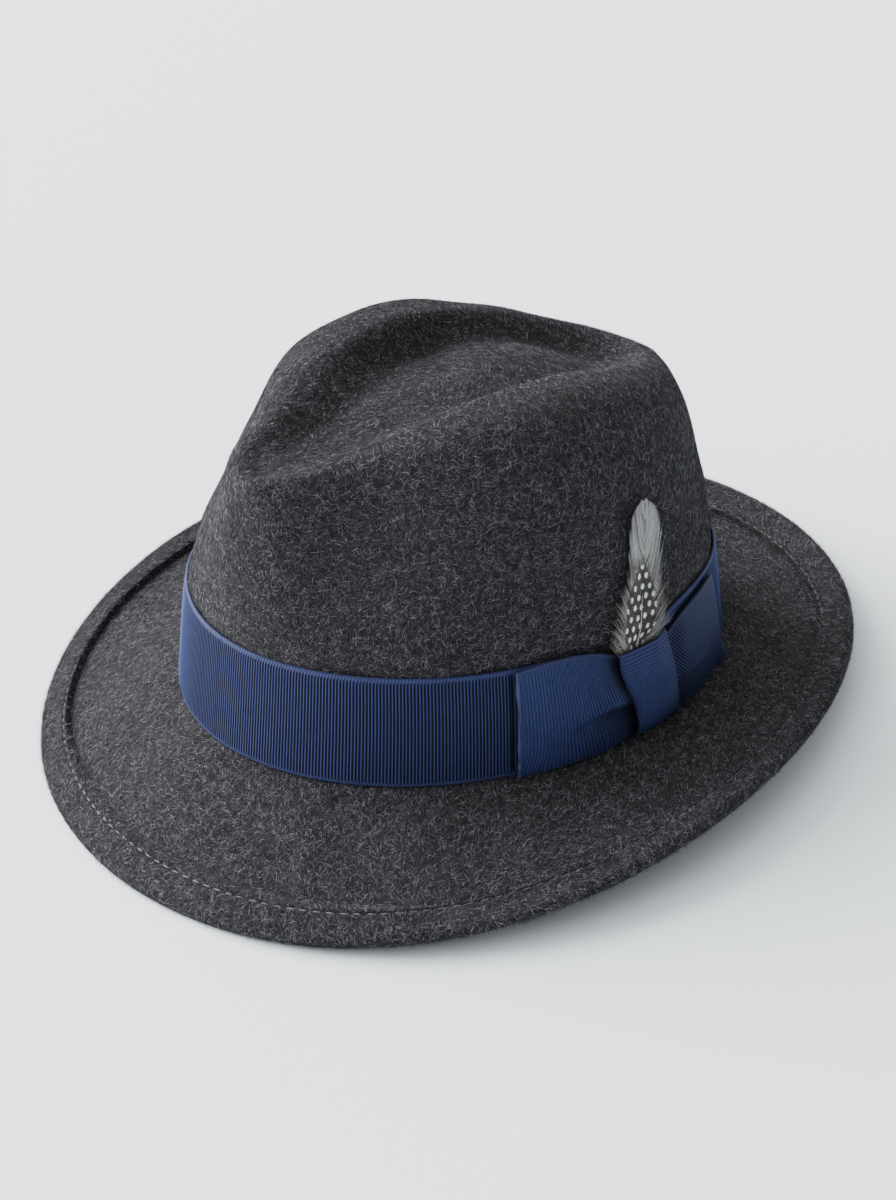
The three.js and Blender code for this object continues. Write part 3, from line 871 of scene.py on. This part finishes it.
def makeFeather(name, shape, outline):
    full = vaneLength(shape)
    points, faces, marks, shades = [], [], [], []
    count = 0
    steps = shape["segments"]
    u = np.linspace(0, 1, steps + 1)
    for side in (-1, 1):
        clumpTurn, clumpShade, clumpLeft = 0.0, 0.5, 0
        for index in range(shape["barbs"]):
            here = 0.01 + 0.975 * index / shape["barbs"]
            root = full * here
            if clumpLeft <= 0:
                clumpLeft = int(rng.integers(2, shape["clump"] + 2))
                clumpTurn, clumpShade = rng.normal(0, shape["spread"]), rng.random()
            clumpLeft -= 1
            if side > 0 and shape["gap"][0] < here < shape["gap"][1]:
                continue
            climb = softTable(np.array([here]), outline, "along", "climb")[0]
            climb *= 1 + 0.08 * clumpTurn + rng.normal(0, 0.04)
            reach = min((root + climb) / full, 1.0)
            wide = softTable(np.array([reach]), outline, "along", "halfWidth")[0]
            loose = fading(np.array(here), 0.4 * shape["looseBelow"], shape["looseBelow"])
            wide *= rng.uniform(0.9 - 0.3 * loose, 1.03) - 0.05 * clumpTurn
            x = side * wide * u ** (1 / shape["bend"])
            y = root + (reach * full - root) * u ** shape["bend"]
            x = x + side * loose * rng.normal(0, 0.5) * u ** 2
            y = y + loose * rng.normal(0, 1.1) * u ** 1.5
            lift = 0.15 + loose * u ** 2 * rng.uniform(-0.2, 1.2) + 0.25 * rng.random() + 0.3 * u * (1 - u)
            width = shape["width"] * (1 - 0.5 * loose * u) * (1 - 0.8 * u ** 3)
            across = np.stack([np.gradient(y), -np.gradient(x)], -1)
            across = normalized(across) * (width / 2)[:, None]
            tilt = rng.normal(0, 0.15)
            left = vanePlace(shape, x + across[:, 0], y + across[:, 1], lift + tilt * width)
            right = vanePlace(shape, x - across[:, 0], y - across[:, 1], lift - tilt * width)
            strip = np.stack([left, right], 1).reshape(-1, 3)
            points.append(strip)
            marks.append(np.stack([np.repeat(x, 2), np.repeat(y, 2), np.repeat(u, 2)], -1))
            shades.append(np.full(len(strip), 0.55 * clumpShade + 0.45 * rng.random()))
            for k in range(steps):
                a = count + 2 * k
                faces.append((a, a + 1, a + 3, a + 2) if side > 0 else (a + 2, a + 3, a + 1, a))
            count += len(strip)
    mesh = arrayMesh(name, laid(np.concatenate(points)), faces)
    mark = mesh.attributes.new("vane", "FLOAT_VECTOR", "POINT")
    mark.data.foreach_set("vector", np.concatenate(marks).astype(np.float32).ravel())
    shade = mesh.attributes.new("shade", "FLOAT", "POINT")
    shade.data.foreach_set("value", np.concatenate(shades).astype(np.float32))
    return mesh


quillLift = 0.75  # how far the shafts stand above their vanes


def makeShaft(name, shape, thick, reach):
    full = vaneLength(shape)
    bm = bmesh.new()
    bmesh.ops.create_cone(bm, cap_ends=True, segments=8, radius1=0.5, radius2=0.5, depth=1.0)
    bmesh.ops.subdivide_edges(
        bm, edges=[e for e in bm.edges if abs(e.verts[0].co.z - e.verts[1].co.z) > 0.5], cuts=14,
    )
    for vertex in bm.verts:
        x, y, z = vertex.co
        t = z + 0.5
        size = thick * (1 - 0.8 * t)
        across, along, lift = np.array([[x * size], [full * reach * t], [quillLift + y * size]])
        vertex.co = laid(vanePlace(shape, across, along, lift))[0]
    return finishMesh(bm, name)


dotPitch = 1.9  # mm between the dots, along the lattice


def featherMaterial(name, dark, light, spots):
    material, tree, shader = newMaterial(
        name, Roughness=0.5, Sheen_Weight=0.15, Sheen_Roughness=0.4, Specular_IOR_Level=0.35,
    )
    vane = ownValue(tree, "vane", "Vector")
    shade = ownValue(tree, "shade")
    parts = addNode(tree, "ShaderNodeSeparateXYZ")
    feed(tree, parts, 0, vane)
    x, y, u = parts.outputs
    spread = mathNode(tree, "ABSOLUTE", x)
    streak = noiseNode(tree, mapped(tree, vane, (0, 0, 0), (5.0, 0.5, 1.0)), 1.0, 3.0, 0.6)
    mixed = mathNode(tree, "MULTIPLY_ADD", shade, 0.6, times(tree, streak, 0.5))
    colour = mixColour(tree, mapRange(tree, mixed, 0.25, 0.8), dark, light)
    if spots:
        # the bare ends of the barbs are pale, and the down at the foot is a warm grey
        ends = mapRange(tree, u, 0.35, 0.85, smooth=True)
        pale = times(tree, ends, mapRange(tree, shade, 0.3, 0.65))
        colour = mixColour(tree, pale, colour, (0.33, 0.32, 0.3, 1))
        foot = mapRange(tree, y, 12.0, 4.0, smooth=True)
        warm = times(tree, foot, mapRange(tree, shade, 0.2, 0.6))
        colour = mixColour(tree, warm, colour, (0.36, 0.32, 0.24, 1))
        # white dots in staggered rows, each in a dark ring: an even Voronoi lattice turned by 45 degrees
        squeeze = mapped(tree, vane, (0, 0, 0), (1.0, 0.4, 0.0))
        lattice = mapped(tree, squeeze, (0, 0, math.radians(45)), (1.0, 1.0, 0.0))
        cells = addNode(tree, "ShaderNodeTexVoronoi", voronoi_dimensions="2D", feature="F1")
        for socket, given in (("Vector", lattice), ("Scale", 1 / dotPitch), ("Randomness", 0.2)):
            feed(tree, cells, socket, given)
        away = addNode(tree, "ShaderNodeVectorMath", operation="SUBTRACT")
        feed(tree, away, 0, lattice)
        feed(tree, away, 1, cells.outputs["Position"])
        upright = mapped(tree, away.outputs[0], (0, 0, math.radians(-45)), (1.0, 1.0, 0.0))
        oval = addNode(tree, "ShaderNodeVectorMath", operation="LENGTH")
        feed(tree, oval, 0, mapped(tree, upright, (0, 0, 0), (1.0, 1.45, 0.0)))
        inside = mapRange(tree, oval.outputs["Value"], 0.66, 0.5, smooth=True)
        reach = mathNode(tree, "MINIMUM", mathNode(tree, "MULTIPLY_ADD", y, -0.4, 15.4), 6.0)
        reach = mathNode(tree, "MINIMUM", reach, mathNode(tree, "MULTIPLY_ADD", y, 0.75, -1.5))
        field = mapRange(tree, mathNode(tree, "SUBTRACT", reach, spread), 0.0, 0.7, smooth=True)
        ground = times(tree, field, mapRange(tree, shade, 0.0, 1.0, 0.95, 0.7))
        colour = mixColour(tree, ground, colour, (0.012, 0.0115, 0.011, 1))
        colour = mixColour(tree, times(tree, inside, field), colour, (0.8, 0.8, 0.77, 1))
    colourBy(tree, shader, colour)
    bump(tree, shader, streak, 0.00006, 0.6)
    return material


def grainMaterial(name, scale, detail, dark, light, **sockets):  # two tones in a fine grain
    material, tree, shader = newMaterial(name, **sockets)
    grain = noiseNode(tree, ownPlace(tree), scale, detail)
    colourBy(tree, shader, mixColour(tree, grain, dark, light))
    return material


greyVane = featherMaterial("greyBarbs", (0.06, 0.06, 0.061, 1), (0.44, 0.44, 0.442, 1), False)
spottedVane = featherMaterial("guineaBarbs", (0.02, 0.019, 0.018, 1), (0.2, 0.19, 0.175, 1), True)
greyMesh = makeFeather("grey_plume", greyShape, greyOutline)
grey = newObject("grey_plume", greyMesh, greyVane)
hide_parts("grey_feather")
spottedMesh = makeFeather("spotted_plume", spottedShape, spottedOutline)
spotted = newObject("spotted_plume", spottedMesh, spottedVane)
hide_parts("spotted_feather")
quill = grainMaterial("quill", 900.0, 3.0, (0.2, 0.19, 0.17, 1), (0.5, 0.48, 0.44, 1), Roughness=0.4)
newObject("grey_quill", makeShaft("grey_quill", greyShape, 0.6, 0.85), quill)
newObject("spotted_quill", makeShaft("spotted_quill", spottedShape, 0.55, 0.7), quill)
print("feathers ready")


# The stitches that hold the folded edge down, on both faces of the brim
stitchShape = {"pitch": 4.5, "length": 2.7, "radius": 0.24, "proud": 0.3, "sides": 6, "rings": 5}


def makeStitches():
    s = stitchShape
    angles = np.linspace(0, 2 * math.pi, 2881)
    inset = feltShape["stitchInset"]
    t = feltShape["thickness"] - feltShape["stitchDip"]
    points, faces = [], []
    count = 0
    for face, depth in ((1, t + s["proud"]), (-1, -t - s["proud"])):
        run = 3 - inset / brimWidth(angles)
        line = sheetPoint(angles, run) + sheetNormal(angles, run) * depth
        lengths = np.concatenate([[0], np.cumsum(np.linalg.norm(np.diff(line, axis=0), axis=1))])
        number = round(lengths[-1] / s["pitch"])
        for k in range(number):
            middle = lengths[-1] * (k + 0.5) / number + rng.normal(0, 0.08)
            half = s["length"] / 2 * rng.uniform(0.9, 1.06)
            reach = np.linspace(-1, 1, s["rings"])
            where = np.interp(middle + reach * half, lengths, angles)
            here = 3 - inset / brimWidth(where)
            normal = sheetNormal(where, here) * face
            bow = 0.16 * (1 - reach ** 2) - 0.12
            centre = sheetPoint(where, here) + sheetNormal(where, here) * depth + normal * bow[:, None]
            along = normalized(np.gradient(centre, axis=0))
            side = np.cross(along, normal)
            front = pressedShare(middle / lengths[-1] * 2 * math.pi)
            size = s["radius"] * (0.45 + 0.5 * front) * np.sqrt(np.clip(1 - (reach * 0.93) ** 2, 0.1, 1))
            ring = np.linspace(0, 2 * math.pi, s["sides"], endpoint=False)
            body = (centre[:, None] + side[:, None] * (np.cos(ring)[None, :, None] * size[:, None, None])
                    + normal[:, None] * (np.sin(ring)[None, :, None] * size[:, None, None]))
            points.append(body.reshape(-1, 3))
            for i in range(s["rings"] - 1):
                for j in range(s["sides"]):
                    a = count + i * s["sides"] + j
                    b = count + i * s["sides"] + (j + 1) % s["sides"]
                    faces.append((a, b, b + s["sides"], a + s["sides"]))
            count += s["sides"] * s["rings"]
    return arrayMesh("edge_stitches", laid(np.concatenate(points)), faces, True)


thread = grainMaterial(
    "greyThread", 2400.0, 2.0, (0.06, 0.061, 0.068, 1), (0.3, 0.3, 0.32, 1), Roughness=0.7, Sheen_Weight=0.3,
)
stitches = newObject("edge_stitches", makeStitches(), thread)
print("stitches ready")


# The nap: fibres brushed over the felt, each one a thin triangle with a tint of its own
napShape = {
    "length": (1.5, 3.6), "halfWidth": (0.04, 0.075), "lift": 0.07, "stray": 0.02, "tints": 48,
    "sunk": 0.07, "turning": 0.95,
}
napPieces = table("name where count", [  # fibres by where they grow
    ("nap_crown", "crown", 190000),
    ("nap_crown_over", "crown", 190000),
    ("nap_brim", "brim", 190000),
    ("nap_brim_over", "brim", 190000),
    ("nap_under", "under", 90000),
])


def readAll(items, name, width, kind):
    values = np.zeros(len(items) * width, kind)
    items.foreach_get(name, values)
    return values.reshape(-1, width) if width > 1 else values


def rowIndex(test):
    return [i for i, row in enumerate(profile) if test(row)]


feltMesh.calc_loop_triangles()
feltPoints = readAll(feltMesh.vertices, "co", 3, np.float32).astype(float)
feltTriangles = readAll(feltMesh.loop_triangles, "vertices", 3, np.int32)
feltRows = readAll(feltMesh.attributes["row"].data, "value", 1, np.float32)
edgeRows = rowIndex(lambda row: row[3] is not None)
crownRows = rowIndex(lambda row: row[0] is not None and row[0] <= 2 and row[1] >= 0)
underRows = rowIndex(lambda row: row[0] is not None and row[0] >= 2 and row[1] < 0)


def flowTurn(points):  # which way the nap is brushed, in slow swirls
    a = np.sin(points @ np.array([38.0, 21.0, 30.0]) + 0.6)
    b = np.sin(points @ np.array([-26.0, 47.0, 18.0]) + 1.9 * a)
    return 0.9 + 0.75 * a + 0.55 * b


def makeNap(piece):
    s = napShape
    corner = feltPoints[feltTriangles]
    meanRow = feltRows[feltTriangles].mean(1)
    centre = corner.mean(1)
    crownFrame = (centre / mm - layShift) @ layTurn
    turnedUnder = edgeRows[len(edgeRows) // 2 + 2]
    if piece["where"] == "crown":
        keep = (meanRow < max(crownRows)) & (crownFrame[:, 2] > ribbonShape["bandHeight"] - 1)
    elif piece["where"] == "brim":
        keep = (meanRow > max(crownRows)) & (meanRow < turnedUnder)
    else:
        keep = (meanRow >= turnedUnder) & (meanRow <= max(underRows))
    keep &= centre[:, 2] > 0.0004
    cross = np.cross(corner[:, 1] - corner[:, 0], corner[:, 2] - corner[:, 0])
    area = np.linalg.norm(cross, axis=1) * keep
    count = piece["count"]
    pick = rng.choice(len(area), count, p=area / area.sum())
    a, b = rng.random(count), rng.random(count)
    flip = a + b > 1
    a[flip], b[flip] = 1 - a[flip], 1 - b[flip]
    c = corner[pick]
    root = c[:, 0] + (c[:, 1] - c[:, 0]) * a[:, None] + (c[:, 2] - c[:, 0]) * b[:, None]
    normal = normalized(cross[pick])
    turn = np.arctan2(root[:, 0], -root[:, 1])
    around = np.stack([np.cos(turn), np.sin(turn), np.zeros(count)], -1)
    around = normalized(around - normal * np.sum(around * normal, 1, keepdims=True))
    down = np.cross(normal, around)
    way = flowTurn(root) + rng.normal(0, s["turning"], count)
    lift = np.abs(rng.normal(0, s["lift"], count)) + 0.05
    stray = rng.random(count) < s["stray"]
    lift[stray] = rng.uniform(0.25, 0.8, stray.sum())
    length = rng.uniform(*s["length"], count) * mm
    length[stray] *= 0.45
    flat = around * np.cos(way)[:, None] + down * np.sin(way)[:, None]
    direction = flat * np.cos(lift)[:, None] + normal * np.sin(lift)[:, None]
    side = normalized(np.cross(normal, flat))
    roll = rng.normal(0, 0.5, count)
    side = side * np.cos(roll)[:, None] + normal * np.sin(roll)[:, None]
    half = rng.uniform(*s["halfWidth"], count) * mm
    foot = root - normal * s["sunk"] * mm
    side = side * half[:, None]
    points = np.stack([foot - side, foot + side, foot + direction * length[:, None]], 1)
    points[:, :, 2] = np.maximum(points[:, :, 2], 0.00005)
    faces = np.arange(count * 3).reshape(-1, 3)
    tint = rng.integers(0, s["tints"], count)
    mesh = arrayMesh(piece["name"], points, faces)
    mark = mesh.attributes.new("tint", "FLOAT", "POINT")
    share = np.interp(tint / (s["tints"] - 1), (0, 0.58, 0.9, 1), (0, 0.5, 0.8, 1))
    mark.data.foreach_set("value", np.repeat(share, 3).astype(np.float32))
    # a palette for baking: every fibre of one tint shares one cell
    cell = 1 / 8
    corners = np.array([(0.2, 0.2), (0.8, 0.2), (0.5, 0.8)])
    palette = (np.stack([tint % 8, tint // 8], -1)[:, None] + corners) * cell
    uv = mesh.uv_layers.new(name="OFBake")
    uv.data.foreach_set("uv", palette.astype(np.float32).ravel())
    return newObject(piece["name"], mesh, nap)


for piece in napPieces:
    makeNap(piece)
print("nap ready")


# Camera, light and floor
photoView = {
    "azimuth": 52.68, "elevation": 30.39, "roll": -1.56, "distance": 841.83, "focal": 2.78,
    "right": -2.12, "up": 13.5, "longSide": 1200, "sensor": 36.0,
}


def makeCamera():
    v = photoView
    a, e, r = (math.radians(v[name]) for name in ("azimuth", "elevation", "roll"))
    back = np.array([math.sin(a) * math.cos(e), -math.cos(a) * math.cos(e), math.sin(e)])
    right = np.array([math.cos(a), math.sin(a), 0.0])
    up = np.cross(back, right)
    right, up = right * math.cos(r) + up * math.sin(r), up * math.cos(r) - right * math.sin(r)
    place = laid(back * v["distance"] + right * v["right"] + up * v["up"])
    data = bpy.data.cameras.new("camera")
    data.sensor_width = v["sensor"]
    data.lens = v["sensor"] * v["focal"] * v["distance"] / v["longSide"]
    data.clip_start, data.clip_end = 0.01, 50
    camera = bpy.data.objects.new("camera", data)
    bpy.context.scene.collection.objects.link(camera)
    turned = [Vector(layTurn @ axis) for axis in (right, up, back)]
    matrix = Matrix((turned[0], turned[1], turned[2])).transposed().to_4x4()
    matrix.translation = Vector(place)
    camera.matrix_world = matrix
    bpy.context.scene.camera = camera


makeCamera()
studio = {
    "keyWay": (-0.83, -0.35, 0.425), "keyDistance": 7.5, "keySize": 7.4, "keyPower": 2430,
    "fillLow": 0.7, "fillHigh": 2.6, "fillColour": (0.9, 0.91, 0.925, 1),
    "floorColour": (0.885, 0.955, 0.985, 1),
}


def addKeyLight():
    data = bpy.data.lights.new("keyLight", "AREA")
    data.shape = "SQUARE"
    data.size = studio["keySize"]
    data.energy = studio["keyPower"]
    light = bpy.data.objects.new("keyLight", data)
    light.location = Vector(studio["keyWay"]) * studio["keyDistance"]
    aim = Vector((0, 0, 0.05)) - light.location
    light.rotation_euler = aim.to_track_quat("-Z", "Y").to_euler()
    bpy.context.scene.collection.objects.link(light)


addKeyLight()

world = bpy.data.worlds.new("studio")
bpy.context.scene.world = world
world.use_nodes = True
sky = world.node_tree
background = sky.nodes["Background"]
background.inputs[0].default_value = studio["fillColour"]
towardsKey = addNode(sky, "ShaderNodeVectorMath", operation="DOT_PRODUCT")
feed(sky, towardsKey, 0, addNode(sky, "ShaderNodeTexCoord").outputs["Generated"])
feed(sky, towardsKey, 1, studio["keyWay"])
fill = (studio["fillLow"], studio["fillHigh"])
sky.links.new(mapRange(sky, towardsKey.outputs["Value"], -0.1, 0.95, *fill, True), background.inputs[1])

floorMesh = bmesh.new()
bmesh.ops.create_grid(floorMesh, x_segments=8, y_segments=8, size=5.0)
floorData = bpy.data.meshes.new("studio_floor")
floorMesh.to_mesh(floorData)
floorMesh.free()
floor = bpy.data.objects.new("studio_floor", floorData)
bpy.context.scene.collection.objects.link(floor)
paper, paperTree, paperShader = newMaterial("palePaper", Roughness=0.85, Specular_IOR_Level=0.1)
paperShader.inputs["Base Color"].default_value = studio["floorColour"]
floorData.materials.append(paper)
print("stage ready")
